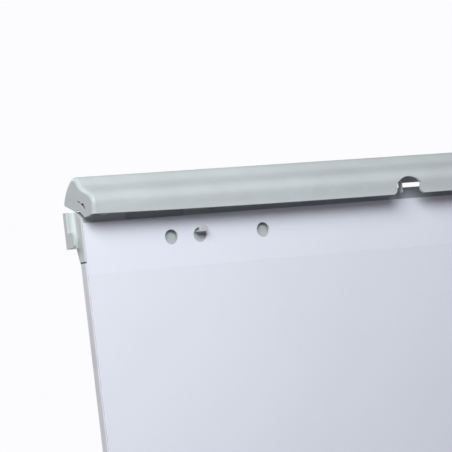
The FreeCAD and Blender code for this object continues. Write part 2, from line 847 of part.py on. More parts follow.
def tray_end_left():
    front = "-dims.tray_reach"
    lip = "-(dims.board_height - dims.tray_lip)"
    low = "-(dims.board_height + dims.tray_thick)"
    back = "dims.board_depth"
    top = "-dims.board_height"
    corners = [(back, low), (front, low), (front, lip), ("-(dims.tray_reach - 3 * dims.tray_thick)", lip),
               ("-dims.tray_thick", top), (back, top)]
    return profile_bar("tray_end_left", "YZ_Plane", corners, "dims.tray_cap",
                       on_board(-size("tray_half") - size("tray_cap"), 0, 0), "One side")


def tray_screws():
    low = -size("board_height") - size("tray_thick")
    spacing = size("tray_half") * 2 / 3
    middle = size("board_depth") / 2
    bolts = [bolt(V(side * spacing, middle, low), Z_AXIS, size("bolt_length")) for side in (-1, 0, 1)]
    return group("tray_screws", bolts, BOARD)


# --- front legs --------------------------------------------------------------------------------------
def tube(label, outer, wall, length, place):
    outside = rod(outer, length, FreeCAD.Placement())
    inside = rod(f"{outer} - {wall}", length, FreeCAD.Placement())
    return cut(label, outside, [inside], place)


def leg_tube_left():
    frame = front_leg_frame(-1)
    return tube("leg_tube_left", "dims.tube_radius", "dims.tube_wall", "dims.tube_end - dims.tube_top",
                frame * shifted(0, 0, -size("tube_end")))


def tube_cap_left():
    bore = "dims.tube_radius - dims.tube_wall"
    corners = [(NOTHING, "-dims.plug_height"), (bore, "-dims.plug_height"), (bore, "-dims.tube_top"),
               ("dims.tube_radius", "-dims.tube_top"), ("dims.tube_radius - 1", "-dims.seam"),
               (NOTHING, "-dims.seam")]
    return turned_piece("tube_cap_left", corners, front_leg_frame(-1))


def inner_tube(label, length, frame, start):
    return tube(label, "dims.inner_radius", "dims.inner_wall", length, frame * shifted(0, 0, -start))


def guide_plug(label, place):
    """Plastic guide on top of an inner tube: a wide head that runs in the outer tube, and a spigot."""
    head = "dims.tube_radius - dims.tube_wall - dims.plug_play"
    spigot = "dims.inner_radius - dims.inner_wall"
    corners = [(NOTHING, "-dims.plug_height"), (spigot, "-dims.plug_height"), (spigot, NOTHING),
               (head, NOTHING), (head, "dims.plug_height / 2"), (f"{head} - 1", "dims.plug_height / 2 + 1"),
               (NOTHING, "dims.plug_height / 2 + 1")]
    return turned_piece(label, corners, place)


def collar(label, boss_direction, frame, tube_end):
    """Clamp collar at the end of an outer tube, with a boss for the knob's screw."""
    bore_tube = "dims.tube_radius"
    bore_leg = "dims.inner_radius + dims.collar_play"
    wide = "dims.collar_radius"
    low = "-dims.collar_below"
    high = "dims.collar_above"
    lip = "dims.collar_lip"
    taper = "dims.collar_taper"
    corners = [(bore_leg, f"{low} + {lip}"), (f"{wide} - {taper}", low),
               (f"{wide} - {lip}", f"{low} + {lip}"), (wide, f"{low} + {taper}"),
               (wide, f"{high} - 2 * {taper}"), (f"{wide} - {taper} + {lip}", high),
               (bore_tube, high), (bore_tube, NOTHING), (bore_leg, NOTHING)]
    ring = turned_piece(label + "_ring", corners, FreeCAD.Placement())
    middle = -size("collar_below") / 2
    direction = V(*boss_direction)
    turn = FreeCAD.Rotation(Z_AXIS, direction)
    start = FreeCAD.Placement(V(0, 0, middle), turn)
    boss = rod("dims.boss_radius", "dims.boss_reach", start)
    ring_and_boss = fuse(label + "_solid", [ring, boss])
    leg_way = rod(bore_leg, "dims.collar_below + dims.collar_above", shifted(0, 0, -size("collar_below")))
    screw_way = rod("dims.screw_radius + dims.screw_play", "dims.boss_reach", start)
    return cut(label, ring_and_boss, [leg_way, screw_way], frame * shifted(0, 0, -tube_end))


def knob(label, boss_direction, frame, tube_end):
    """Lobed knob on a screw; the screw's tip ends just clear of the inner tube."""
    direction = V(*boss_direction)
    turn = FreeCAD.Rotation(Z_AXIS, direction)
    place = frame * FreeCAD.Placement(V(0, 0, -tube_end - size("collar_below") / 2), turn)
    face = size("boss_reach") + size("saddle_gap")
    head = rod("dims.knob_radius", "dims.knob_thick", shifted(0, 0, face))
    scallops = []
    for k in range(int(size("knob_lobes"))):
        turn_angle = 2 * math.pi * (k + 0.5) / size("knob_lobes")
        away = size("scallop_out")
        scallops.append(rod("dims.scallop_radius", "2 * dims.knob_thick",
                            shifted(away * math.cos(turn_angle), away * math.sin(turn_angle),
                                    face - size("knob_thick") / 2)))
    lobed = cut(label + "_head", head, scallops)
    tip = size("inner_radius") + size("collar_play")
    shank = rod("dims.screw_radius", "dims.boss_reach - dims.inner_radius + dims.knob_thick / 2",
                shifted(0, 0, tip))
    return fuse(label, [lobed, shank], place)


def foot(label, frame, length):
    """Rubber foot on the end of an inner tube, cut off level with the floor."""
    wide = "dims.foot_radius"
    neck = "dims.foot_radius - dims.foot_taper"
    corners = [(NOTHING, f"-{wide}"), (wide, f"-{wide}"), (wide, "dims.foot_sole"),
               (neck, "dims.foot_sole + 2 * dims.foot_taper"), (neck, "dims.foot_height - dims.foot_taper"),
               (f"{neck} - dims.foot_taper / 3", "dims.foot_height"), (NOTHING, "dims.foot_height")]
    boot = turned_piece(label + "_boot", corners, frame * shifted(0, 0, -length))
    socket = rod("dims.inner_radius", "dims.foot_height", frame * shifted(0, 0, size("foot_sole") - length))
    reach = 4 * size("foot_radius")
    at = (frame * shifted(0, 0, -length)).Base
    below = box("8 * dims.foot_radius", "8 * dims.foot_radius", "4 * dims.foot_radius",
                shifted(at.x - reach, at.y - reach, -reach))
    return cut(label, boot, [socket, below])


def clip_left(label, z):
    """Saddle clip that holds a leg tube against the back of a beam."""
    front = size("beam_depth") - size("leg_axis_y")
    low = -size("clip_height") / 2
    plate = box("2 * dims.clip_half", "dims.clip_plate", "dims.clip_height",
                shifted(-size("clip_half"), front, low))
    neck = box("2 * dims.clip_radius", "dims.leg_axis_y - dims.beam_depth", "dims.clip_height",
               shifted(-size("clip_radius"), front, low))
    barrel = rod("dims.clip_radius", "dims.clip_height", shifted(0, 0, low))
    way = rod("dims.tube_radius", "2 * dims.clip_height", shifted(0, 0, -size("clip_height")))
    return cut(label, fuse(label + "_solid", [plate, neck, barrel]), [way],
               front_leg_frame(-1) * shifted(0, 0, z))


def clip_screws():
    bolts = []
    back = size("beam_depth") + size("clip_plate")
    for side in (-1, 1):
        for x in (-1, 1):
            for z in (-size("cap_size") / 2, -size("board_height") + size("cap_size") / 2):
                across = side * size("leg_offset") + x * (size("clip_half") + size("clip_radius")) / 2
                bolts.append(bolt(V(across, back, z), Y_AXIS * -1, size("bolt_length")))
    return group("clip_screws", bolts, BOARD)


def cross_brace():
    half = size("leg_offset") + size("tube_radius")
    place = on_board(-half, size("leg_axis_y") - size("tube_radius") - size("brace_thick"),
                     -size("brace_top") - size("brace_width"))
    bar = box("2 * (dims.leg_offset + dims.tube_radius)", "dims.brace_thick", "dims.brace_width", place)
    bar.Label = "cross_brace"
    return bar


def brace_rivets():
    front = size("leg_axis_y") - size("tube_radius") - size("brace_thick")
    z = -size("brace_top") - size("brace_width") / 2
    length = size("brace_thick") + 2 * size("tube_wall")
    rivets = [bolt(V(side * size("leg_offset"), front, z), Y_AXIS, length) for side in (-1, 1)]
    return group("brace_rivets", rivets, BOARD)


# --- rear leg ----------------------------------------------------------------------------------------
def hinge_bracket():
    """Base plate on the back of the top beam with two cheeks for the rear leg's pin."""
    back = size("beam_depth") - size("hinge_y")
    plate_high = size("clip_height")
    plate = box("2 * dims.hinge_plate_half", "dims.clip_plate", "dims.clip_height",
                shifted(-size("hinge_plate_half"), back, -plate_high / 2))
    items = [plate]
    for start in (size("cheek_inner"), -size("cheek_inner") - size("cheek_thick")):
        items.append(box("dims.cheek_thick", "dims.hinge_y - dims.beam_depth", "2 * dims.cheek_radius",
                         shifted(start, back, -size("cheek_radius"))))
        items.append(rod("dims.cheek_radius", "dims.cheek_thick", along_x(start, 0, 0)))
    pin_way = rod("dims.hinge_pin_radius", "4 * dims.hinge_plate_half",
                  along_x(-2 * size("hinge_plate_half"), 0, 0))
    return cut("hinge_bracket", fuse("hinge_bracket_solid", items), [pin_way], HINGE)


def hinge_pin():
    """Pin with a rounded head at each end, pressed into the cheeks."""
    outside = "dims.cheek_inner + dims.cheek_thick"
    shank = "dims.hinge_pin_radius"
    grown = "dims.hinge_pin_head"
    head = f"{shank} + {grown}"
    rim = f"{outside} + {grown} / 2"
    end = f"{outside} + {grown}"
    half = [(shank, outside), (head, outside), (head, rim), (f"{shank} + {grown} / 2", end), (NOTHING, end)]
    corners = [(radius, f"-({height})") for radius, height in reversed(half)] + half
    return turned_piece("hinge_pin", corners, HINGE * turned_about(Y_AXIS, 90))


def hinge_screws():
    across = (size("hinge_plate_half") + size("cheek_inner") + size("cheek_thick")) / 2
    back = size("beam_depth") + size("clip_plate")
    bolts = []
    for x in (-across, across):
        for z in (-size("clip_height") / 3, size("clip_height") / 3):
            bolts.append(bolt(V(x, back, z - size("hinge_drop")), Y_AXIS * -1, size("bolt_length")))
    return group("hinge_screws", bolts, BOARD)


def leg_head():
    """Moulded head of the rear leg: an eye on the hinge pin and a spigot down into the tube."""
    eye = rod("dims.head_radius", "2 * dims.head_half", along_x(-size("head_half"), 0, 0))
    neck = rod("dims.tube_radius", "dims.rear_tube_start", shifted(0, 0, -size("rear_tube_start")))
    spigot = rod("dims.tube_radius - dims.tube_wall", "dims.head_length",
                 shifted(0, 0, -size("rear_tube_start") - size("plug_height")))
    way = rod("dims.hinge_pin_radius + dims.pin_play", "4 * dims.head_half",
              along_x(-2 * size("head_half"), 0, 0))
    return cut("leg_head", fuse("leg_head_solid", [eye, neck, spigot]), [way], REAR_LEG)


def rear_tube():
    length = "dims.rear_tube_end - dims.rear_tube_start"
    return tube("rear_tube", "dims.tube_radius", "dims.tube_wall", length,
                REAR_LEG * shifted(0, 0, -size("rear_tube_end")))


# --- assembly ----------------------------------------------------------------------------------------
def build_board():
    side = side_rail_left()
    top_cap = corner_top_left()
    low_cap = corner_bottom_right()
    pin = pivot_pin_left()
    return [board_panel(), side, mirrored("side_rail_right", side),
            cross_beam("top_beam", BOARD),
            cross_beam("bottom_beam", on_board(0, 0, -size("board_height")) * turned_about(Y_AXIS, 180)),
            top_cap, mirrored("corner_top_right", top_cap), low_cap, mirrored("corner_bottom_left", low_cap),
            seam_gaskets(), pin, mirrored("pivot_pin_right", pin)]


def build_pad():
    hook = pad_hook_left()
    return [punched_layer("pad_backing", -size("card_thick"), "dims.card_thick"),
            punched_layer("pad_sheets", -size("card_thick") - size("sheets_thick"), "dims.sheets_thick"),
            hook, mirrored("pad_hook_right", hook)]


def build_tray():
    end = tray_end_left()
    return [pen_tray(), end, mirrored("tray_end_right", end), tray_screws()]


def build_front_legs():
    frame = front_leg_frame(-1)
    outward = (-1, 0, 0)
    length = front_leg_length()
    start = size("tube_end") - size("inner_overlap")
    end = length - size("foot_sole")
    inner = inner_tube("leg_inner_left", f"{end - start}", frame, end)
    left = [leg_tube_left(), tube_cap_left(), collar("leg_collar_left", outward, frame, size("tube_end")),
            knob("leg_knob_left", outward, frame, size("tube_end")), inner,
            guide_plug("leg_guide_left", frame * shifted(0, 0, -start)), foot("foot_left", frame, length),
            clip_left("leg_clip_upper_left", -size("cap_size") / 2),
            clip_left("leg_clip_lower_left", -size("board_height") + size("cap_size") / 2)]
    right = [mirrored(item.Label.replace("left", "right"), item) for item in left]
    return left + right + [clip_screws(), cross_brace(), brace_rivets()]


def build_rear_leg():
    backward = (0, 1, 0)
    length = rear_leg_length()
    start = size("rear_tube_end") - size("inner_overlap")
    end = length - size("foot_sole")
    return [hinge_bracket(), hinge_pin(), hinge_screws(), leg_head(), rear_tube(),
            collar("rear_collar", backward, REAR_LEG, size("rear_tube_end")),
            knob("rear_knob", backward, REAR_LEG, size("rear_tube_end")),
            inner_tube("rear_inner", f"{end - start}", REAR_LEG, end),
            guide_plug("rear_guide", REAR_LEG * shifted(0, 0, -start)), foot("foot_rear", REAR_LEG, length)]


def check_and_export(parts):
    doc.recompute()
    for item in doc.Objects:
        if "Invalid" in item.State or "Error" in item.State:
            raise RuntimeError(f"{item.Label} ({item.Name}) failed: {item.State}")
    for item in parts:
        if item.Shape.isNull() or not item.Shape.isValid():
            raise RuntimeError(f"{item.Label} has no valid shape")
    os.makedirs("parts", exist_ok=True)
    for item in parts:
        item.Shape.exportStep(f"parts/{item.Label}.step")
    print(len(parts), "nodes written")


check_and_export(build_board() + [clamp_rail()] + build_pad() + build_tray() + build_front_legs()
                 + build_rear_leg())
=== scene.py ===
"""Looks of a tripod flipchart easel: materials, the paper pad, screw heads, studio light and camera."""
import json
import math
import random

import bmesh
import bpy
from mathutils import Matrix, Vector


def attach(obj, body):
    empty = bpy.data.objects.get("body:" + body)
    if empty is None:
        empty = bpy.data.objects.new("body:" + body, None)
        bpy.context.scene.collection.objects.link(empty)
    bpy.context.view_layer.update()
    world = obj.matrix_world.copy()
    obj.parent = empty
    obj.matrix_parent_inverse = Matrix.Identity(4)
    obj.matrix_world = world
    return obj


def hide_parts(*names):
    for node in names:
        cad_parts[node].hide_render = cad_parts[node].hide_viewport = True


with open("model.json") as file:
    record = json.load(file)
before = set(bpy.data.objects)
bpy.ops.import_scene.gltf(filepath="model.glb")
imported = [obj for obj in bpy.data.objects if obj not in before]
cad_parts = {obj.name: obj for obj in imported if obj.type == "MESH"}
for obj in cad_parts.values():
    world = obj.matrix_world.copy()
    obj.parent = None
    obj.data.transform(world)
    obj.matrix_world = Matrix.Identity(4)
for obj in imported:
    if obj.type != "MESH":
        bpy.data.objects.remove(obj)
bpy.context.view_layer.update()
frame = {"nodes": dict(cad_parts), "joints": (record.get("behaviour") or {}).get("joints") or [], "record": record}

MM = 0.001

# --- the board's own frame: origin in the middle of its top front edge, x right, y back, z up ---------
LEAN = math.radians(13)
PIVOT_IN_BOARD = Vector((0, 1.5, 2.7)) * MM
CLAMP_JOINT = next(joint for joint in frame["joints"] if joint["name"] == "clamp_hinge")
BOARD_TURN = Matrix.Rotation(-LEAN, 4, "X")
BOARD = Matrix.Translation(Vector(CLAMP_JOINT["pos_m"]) - BOARD_TURN @ PIVOT_IN_BOARD) @ BOARD_TURN


def on_board(x, y, z):
    """A point given in millimetres in the board's frame."""
    return BOARD @ (Vector((x, y, z)) * MM)


# --- the paper pad, in millimetres in the board's frame ----------------------------------------------
PAD_HALF = 326.5
PAD_TOP = -10.6
PAD_BOTTOM = -1000.6
SHEETS_BACK = -0.5
SHEETS_FRONT = -2.5
LEAVES = 14
LEAF_SHARE = 0.86       # of the room that each leaf has; the rest is air
TRIM_SPREAD = 0.35
PUNCH_RADIUS = 6.5
PUNCH_WEAR = 0.7        # the leaves behind the front one have wider holes
PUNCH_ROW = PAD_TOP - 17.8
PUNCHES = (-241.9, -213.1, -148, 148, 213.1, 241.9)
PERFORATION = PAD_TOP - 45
SLIT_LENGTH = 3.0
SLIT_PITCH = 4.6
SLIT_WIDTH = 0.28
SLIT_MARGIN = 2.0


# --- node helpers ------------------------------------------------------------------------------------
class Shader:
    """A node material under construction, with object coordinates in metres at hand."""

    def __init__(self, name):
        self.material = bpy.data.materials.new(name)
        self.material.use_nodes = True
        self.tree = self.material.node_tree
        self.surface = self.tree.nodes["Principled BSDF"]
        self.place = self.tree.nodes.new("ShaderNodeTexCoord").outputs["Object"]

    def node(self, kind, **settings):
        """Adds a node and sets its properties."""
        made = self.tree.nodes.new(kind)
        for key, value in settings.items():
            setattr(made, key, value)
        return made

    def link(self, source, target):
        """Links an output to an input."""
        self.tree.links.new(source, target)

    def feed(self, source, name):
        """Links an output to a named input of the surface."""
        self.link(source, self.surface.inputs[name])

    def set(self, name, value):
        """Sets a named input of the surface to a fixed value."""
        self.surface.inputs[name].default_value = value

    def stretched(self, scale):
        """Object coordinates stretched by a vector, for grain that runs one way."""
        mapping = self.node("ShaderNodeMapping")
        mapping.inputs["Scale"].default_value = scale
        self.link(self.place, mapping.inputs["Vector"])
        return mapping.outputs["Vector"]

    def noise(self, scale, detail=3.0, rough=0.5, place=None):
        """Noise from 0 to 1; scale is in features per metre."""
        made = self.node("ShaderNodeTexNoise")
        made.inputs["Scale"].default_value = scale
        made.inputs["Detail"].default_value = detail
        made.inputs["Roughness"].default_value = rough
        self.link(place or self.place, made.inputs["Vector"])
        return made.outputs["Fac"]

    def ramp(self, value, low, high, start=0.35, end=0.65):
        """Maps a value from start to end onto numbers from low to high."""
        made = self.node("ShaderNodeMapRange")
        made.inputs["From Min"].default_value = start
        made.inputs["From Max"].default_value = end
        made.inputs["To Min"].default_value = low
        made.inputs["To Max"].default_value = high
        self.link(value, made.inputs["Value"])
        return made.outputs["Result"]

    def mix(self, factor, first, second, blend="MIX"):
        """Mixes two colours; each argument is a value or another node's output."""
        made = self.node("ShaderNodeMix", data_type="RGBA", blend_type=blend)
        colours = [socket for socket in made.inputs if socket.type == "RGBA"]
        for socket, value in zip([made.inputs[0]] + colours, (factor, first, second)):
            if isinstance(value, bpy.types.NodeSocket):
                self.link(value, socket)
            else:
                socket.default_value = value
        return next(socket for socket in made.outputs if socket.type == "RGBA")

    def bump(self, height, strength, depth, normal=None):
        """A normal roughened by a height value to a depth in millimetres, on top of any other normal."""
        made = self.node("ShaderNodeBump")
        made.inputs["Strength"].default_value = strength
        made.inputs["Distance"].default_value = depth * MM
        self.link(height, made.inputs["Height"])
        if normal is not None:
            self.link(normal, made.inputs["Normal"])
        return made.outputs["Normal"]

    def soft_edges(self, radius):
        """A normal that rounds sharp edges by a radius in millimetres."""
        made = self.node("ShaderNodeBevel", samples=6)
        made.inputs["Radius"].default_value = radius * MM
        return made.outputs["Normal"]


def linear(red, green, blue):
    """Display values (0..255) as a linear colour, by the sRGB curve."""
    parts = [value / 255 for value in (red, green, blue)]
    return tuple(p / 12.92 if p <= 0.04045 else ((p + 0.055) / 1.055) ** 2.4 for p in parts) + (1.0,)


def scaled(colour, factor):
    """A colour made lighter or darker by a factor."""
    return tuple(min(1.0, channel * factor) for channel in colour[:3]) + (1.0,)


# --- materials ---------------------------------------------------------------------------------------
def moulded_plastic(name, colour, roughness, grain=1400, depth=0.03):
    """Satin injection moulding: fine spark-eroded grain, slight flow clouding and rubbed edges."""
    shader = Shader(name)
    cloud = shader.noise(18, detail=4, rough=0.6)
    specks = shader.noise(2600, detail=2, rough=0.6)
    tone = shader.mix(shader.ramp(cloud, 0, 1), scaled(colour, 0.955), scaled(colour, 1.03))
    tone = shader.mix(shader.ramp(specks, 0.0, 0.10, start=0.55, end=0.8), tone, scaled(colour, 0.72))
    shader.feed(tone, "Base Color")
    smears = shader.noise(60, detail=5, rough=0.65)
    shader.feed(shader.ramp(smears, roughness - 0.06, roughness + 0.08), "Roughness")
    fine = shader.noise(grain, detail=3, rough=0.6)
    normal = shader.bump(fine, 0.35, depth, shader.soft_edges(0.4))
    shader.feed(normal, "Normal")
    shader.set("IOR", 1.49)
    return shader.material


def coated_metal(name, colour, roughness, metallic=0.0):
    """Powder coat: orange-peel skin, a little dust in the tone and dull rub marks."""
    shader = Shader(name)
    dust = shader.noise(35, detail=5, rough=0.6)
    peel = shader.noise(650, detail=2, rough=0.45)
    tone = shader.mix(shader.ramp(dust, 0, 1), scaled(colour, 0.94), scaled(colour, 1.04))
    flecks = shader.noise(3800, detail=1, rough=0.5)
    tone = shader.mix(shader.ramp(flecks, 0, 0.16, start=0.6, end=0.78), tone, scaled(colour, 1.5))
    shader.feed(tone, "Base Color")
    rubs = shader.noise(9, detail=6, rough=0.7)
    shader.feed(shader.ramp(rubs, roughness - 0.07, roughness + 0.09), "Roughness")
    shader.set("Metallic", metallic)
    normal = shader.bump(peel, 0.22, 0.05, shader.soft_edges(0.4))
    shader.feed(normal, "Normal")
    return shader.material


def drawn_metal(name, colour, roughness, along):
    """Plated or anodised metal with drawing lines along its length and faint smudges."""
    shader = Shader(name)
    lines = shader.noise(900, detail=3, rough=0.6, place=shader.stretched(along))
    smudge = shader.noise(14, detail=5, rough=0.6)
    tone = shader.mix(shader.ramp(lines, 0, 1), scaled(colour, 0.93), scaled(colour, 1.03))
    shader.feed(tone, "Base Color")
    shader.set("Metallic", 1.0)
    shader.feed(shader.ramp(smudge, roughness - 0.05, roughness + 0.10), "Roughness")
    normal = shader.bump(lines, 0.12, 0.02, shader.soft_edges(0.3))
    shader.feed(normal, "Normal")
    return shader.material


def rubber(name, colour):
    """Matt rubber with a chalky bloom and scuffs."""
    shader = Shader(name)
    bloom = shader.noise(45, detail=6, rough=0.7)
    tone = shader.mix(shader.ramp(bloom, 0, 1, start=0.4, end=0.75), colour, scaled(colour, 2.2))
    shader.feed(tone, "Base Color")
    shader.feed(shader.ramp(bloom, 0.62, 0.85), "Roughness")
    pores = shader.noise(1100, detail=3, rough=0.6)
    shader.feed(shader.bump(pores, 0.5, 0.06, shader.soft_edges(0.6)), "Normal")
    return shader.material


def paper(name, colour):
    """Smooth flipchart paper: fibres, faint mottle and soft tooth, with painted shade making it a touch darker
    below the perforation.
    """
    shader = Shader(name)
    perforation = on_board(0, SHEETS_FRONT, PERFORATION).z
    half_step = 0.3 * MM
    height = shader.node("ShaderNodeSeparateXYZ")
    shader.link(shader.place, height.inputs[0])
    head = shader.ramp(height.outputs["Z"], 0, 1,
                       start=perforation - half_step, end=perforation + half_step)
    fibres = shader.noise(520, detail=6, rough=0.7, place=shader.stretched((1.0, 1.0, 0.35)))
    mottle = shader.noise(7, detail=4, rough=0.55)
    tone = shader.mix(shader.ramp(mottle, 0, 1), scaled(colour, 0.985), scaled(colour, 1.01))
    tone = shader.mix(shader.ramp(fibres, 0, 0.35, start=0.42, end=0.75), tone, scaled(colour, 0.955))
    # painted shade: below the perforation the paper is multiplied by 0.975 in place of the shading of the sheets'
    # slight forward bulge there; head is the mask that keeps the part above the perforation unshaded
    darker = shader.mix(1.0, tone, (0.975, 0.975, 0.975, 1.0), "MULTIPLY")
    tone = shader.mix(head, darker, tone)
    shader.feed(tone, "Base Color")
    shader.feed(shader.ramp(fibres, 0.72, 0.86), "Roughness")
    waves = shader.noise(6, detail=2, rough=0.4)
    tooth = shader.bump(fibres, 0.20, 0.02)
    shader.feed(shader.bump(waves, 0.10, 3, tooth), "Normal")
    shader.set("Specular IOR Level", 0.25)
    return shader.material


def card(name, colour):
    """Pale grey board with coarse mixed fibres."""
    shader = Shader(name)
    fibres = shader.noise(700, detail=6, rough=0.75)
    flecks = shader.noise(1900, detail=2, rough=0.6)
    tone = shader.mix(shader.ramp(fibres, 0, 1), scaled(colour, 0.86), scaled(colour, 1.12))
    tone = shader.mix(shader.ramp(flecks, 0, 0.5, start=0.6, end=0.75), tone, scaled(colour, 0.5))
    shader.feed(tone, "Base Color")
    shader.feed(shader.ramp(flecks, 0.80, 0.92), "Roughness")
    shader.feed(shader.bump(fibres, 0.4, 0.05), "Normal")
    return shader.material


# each slot's maker, its colour, and whatever else that maker takes
FINISHES = {
    "rail_plastic": (moulded_plastic, linear(200, 209, 214), 0.42),
    "cap_plastic": (moulded_plastic, linear(206, 214, 216), 0.46),
    "beam_paint": (coated_metal, linear(192, 200, 204), 0.45),
    "side_paint": (coated_metal, linear(224, 226, 238), 0.42),
    "board_laminate": (coated_metal, linear(226, 227, 226), 0.30),
    "paper": (paper, linear(233, 238, 253)),
    "card": (card, linear(206, 206, 204)),
    "peg_plastic": (moulded_plastic, linear(190, 198, 202), 0.40),
    "tray_aluminium": (drawn_metal, linear(214, 216, 218), 0.34, (0.02, 1.0, 1.0)),
    "black_plastic": (moulded_plastic, linear(44, 45, 48), 0.50, 900, 0.05),
    "zinc": (drawn_metal, linear(196, 196, 190), 0.30, (1.0, 1.0, 1.0)),
    "rubber": (rubber, linear(34, 34, 35)),
    "inner_steel": (drawn_metal, linear(214, 216, 219), 0.16, (1.0, 1.0, 0.02)),
    "leg_paint": (coated_metal, linear(168, 172, 176), 0.38, 0.25),
}
MATERIALS = {slot: maker(slot, *settings) for slot, (maker, *settings) in FINISHES.items()}


def dress_cad_nodes():
    """Gives every CAD node the material of its slot in the record."""
    slots = {part["node"]: part["material_slot"] for part in frame["record"]["subparts"]}
    for name, node in frame["nodes"].items():
        for material_slot in node.material_slots:
            material_slot.material = MATERIALS[slots[name]]


# --- pieces and meshes -------------------------------------------------------------------------------
def link_new(name, data):
    """A new object in the scene."""
    obj = bpy.data.objects.new(name, data)
    bpy.context.scene.collection.objects.link(obj)
    return obj


def finish_piece(obj, slot, body):
    """Gives a new piece the material of its slot and the body that it rides on."""
    obj.data.materials.append(MATERIALS[slot])
    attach(obj, body)


def mesh_from(build, name):
    """Turns a bmesh into a mesh and frees it."""
    mesh = bpy.data.meshes.new(name)
    build.to_mesh(mesh)
    build.free()
    return mesh


def take_in(build, mesh, place):
    """Adds a mesh to a bmesh at a place, and removes the mesh."""
    mesh.transform(place)
    build.from_mesh(mesh)
    bpy.data.meshes.remove(mesh)


def final_mesh(obj):
    """An object's mesh with its modifiers applied, or its curve filled; the object is removed."""
    mesh = bpy.data.meshes.new_from_object(obj.evaluated_get(bpy.context.evaluated_depsgraph_get()))
    bpy.data.objects.remove(obj)
    return mesh


def circle(radius, steps):
    """Points round a circle about the origin."""
    turn = 2 * math.pi / steps
    return [(radius * math.cos(k * turn), radius * math.sin(k * turn)) for k in range(steps)]


# --- paper pad ---------------------------------------------------------------------------------------
def add_polygon(curve, points):
    """Adds a closed outline, given in millimetres, to a flat curve."""
    spline = curve.splines.new("POLY")
    spline.points.add(len(points) - 1)
    for spot, (x, z) in zip(spline.points, points):
        spot.co = (x * MM, z * MM, 0, 1)
    spline.use_cyclic_u = True


def rectangle(left, right, first, last):
    """A rectangle's corners, from its first height to its last."""
    return [(left, first), (right, first), (right, last), (left, last)]


def add_perforation(curve):
    """Adds a row of short slits across the sheet."""
    count = int((2 * PAD_HALF - 2 * SLIT_MARGIN) / SLIT_PITCH)
    first = -SLIT_PITCH * (count - 1) / 2
    for k in range(count):
        x = first + k * SLIT_PITCH
        add_polygon(curve, rectangle(x - SLIT_LENGTH / 2, x + SLIT_LENGTH / 2,
                                     PERFORATION - SLIT_WIDTH / 2, PERFORATION + SLIT_WIDTH / 2))


def leaf_mesh(thick, trim, punch_radius, perforated):
    """One leaf of the pad as a flat sheet with its punched holes."""
    curve = bpy.data.curves.new("leaf", "CURVE")
    curve.dimensions = "2D"
    curve.fill_mode = "BOTH"
    curve.extrude = thick * MM / 2
    left, right, top, bottom = trim
    add_polygon(curve, rectangle(-PAD_HALF + left, PAD_HALF - right, PAD_TOP - top, PAD_BOTTOM + bottom))
    for middle in PUNCHES:
        add_polygon(curve, [(middle + x, PUNCH_ROW + z) for x, z in circle(punch_radius, 36)])
    if perforated:
        add_perforation(curve)
    return final_mesh(link_new("leaf", curve))


def paper_pad():
    """The stack of sheets: leaves laid one on the other, those behind the front one a hair smaller."""
    chance = random.Random(7)
    pitch = (SHEETS_BACK - SHEETS_FRONT) / LEAVES
    joined = bmesh.new()
    stand_up = Matrix.Rotation(math.radians(90), 4, "X")
    for k in range(LEAVES):
        front = k == LEAVES - 1
        trim = [0.0] * 4 if front else [chance.uniform(0.0, TRIM_SPREAD) for _ in range(4)]
        punch_radius = PUNCH_RADIUS if front else PUNCH_RADIUS + PUNCH_WEAR
        leaf = leaf_mesh(pitch * LEAF_SHARE, trim, punch_radius, perforated=front)
        depth = SHEETS_BACK - pitch * (k + 0.5)
        take_in(joined, leaf, BOARD @ Matrix.Translation((0, depth * MM, 0)) @ stand_up)
    obj = link_new("paper_sheets", mesh_from(joined, "paper_sheets"))
    finish_piece(obj, "paper", "board")
    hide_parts("pad_sheets")


# --- cross-head screws, in millimetres ---------------------------------------------------------------
HEAD_RADIUS = 4.5
HEAD_THICK = 2.2
HEAD_RIM = 0.35         # of the thickness is straight wall; the rest is dome
DOME_ANGLES = (0.0, 0.3, 0.6, 0.9, 1.15, 1.35)
SHANK_RADIUS = 2.0
SHANK_LENGTH = 8.0
RECESS_ARM = 2.3
RECESS_WIDE = 0.95
RECESS_DEEP = 1.1
RECESS_TAPER = 0.6      # width of a bar's foot as a share of its top
SCREW_TURN = math.radians(37)
WELD = 0.001
SEAT_SLACK = 0.02
SCREWS_FACE = {"clip_screws": (0, 1, 0), "hinge_screws": (0, 1, 0), "tray_screws": (0, 0, -1)}


def islands(node):
    """The separate solids of a CAD node, each as a list of its points in the board's frame."""
    source = frame["nodes"][node]
    to_board = BOARD.inverted() @ source.matrix_world
    solid = bmesh.new()
    solid.from_mesh(source.data)
    bmesh.ops.remove_doubles(solid, verts=solid.verts, dist=WELD * MM)
    waiting = set(solid.verts)
    found = []
    while waiting:
        front = [waiting.pop()]
        island = []
        while front:
            vertex = front.pop()
            island.append(to_board @ vertex.co)
            near = {edge.other_vert(vertex) for edge in vertex.link_edges} & waiting
            waiting -= near
            front.extend(near)
        found.append(island)
    solid.free()
    return sorted(found, key=lambda points: (round(points[0].x, 3), round(points[0].z, 3)))


def lathe(target, profile, steps=40):
    """Adds a closed turned solid about Z; the profile is (radius, height) from the axis to the axis."""
    rings = []
    for radius, height in profile:
        if radius == 0:
            rings.append([target.verts.new((0, 0, height * MM))] * steps)
        else:
            points = circle(radius, steps)
            rings.append([target.verts.new((x * MM, y * MM, height * MM)) for x, y in points])
    for lower, upper in zip(rings, rings[1:]):
        for k in range(steps):
            after = (k + 1) % steps
            corners = [lower[k], lower[after], upper[after], upper[k]]
            target.faces.new(list(dict.fromkeys(corners)))


def plain_screw():
    """A pan head on a plain shank; its seat is at height 0 and its top is up."""
    shank = [(0, -SHANK_LENGTH), (SHANK_RADIUS, -SHANK_LENGTH), (SHANK_RADIUS, 0), (HEAD_RADIUS, 0)]
    dome = [(HEAD_RADIUS * math.cos(angle), HEAD_THICK * (HEAD_RIM + (1 - HEAD_RIM) * math.sin(angle)))
            for angle in DOME_ANGLES]
    build = bmesh.new()
    lathe(build, shank + dome + [(0, HEAD_THICK)])
    return link_new("screw", mesh_from(build, "screw"))


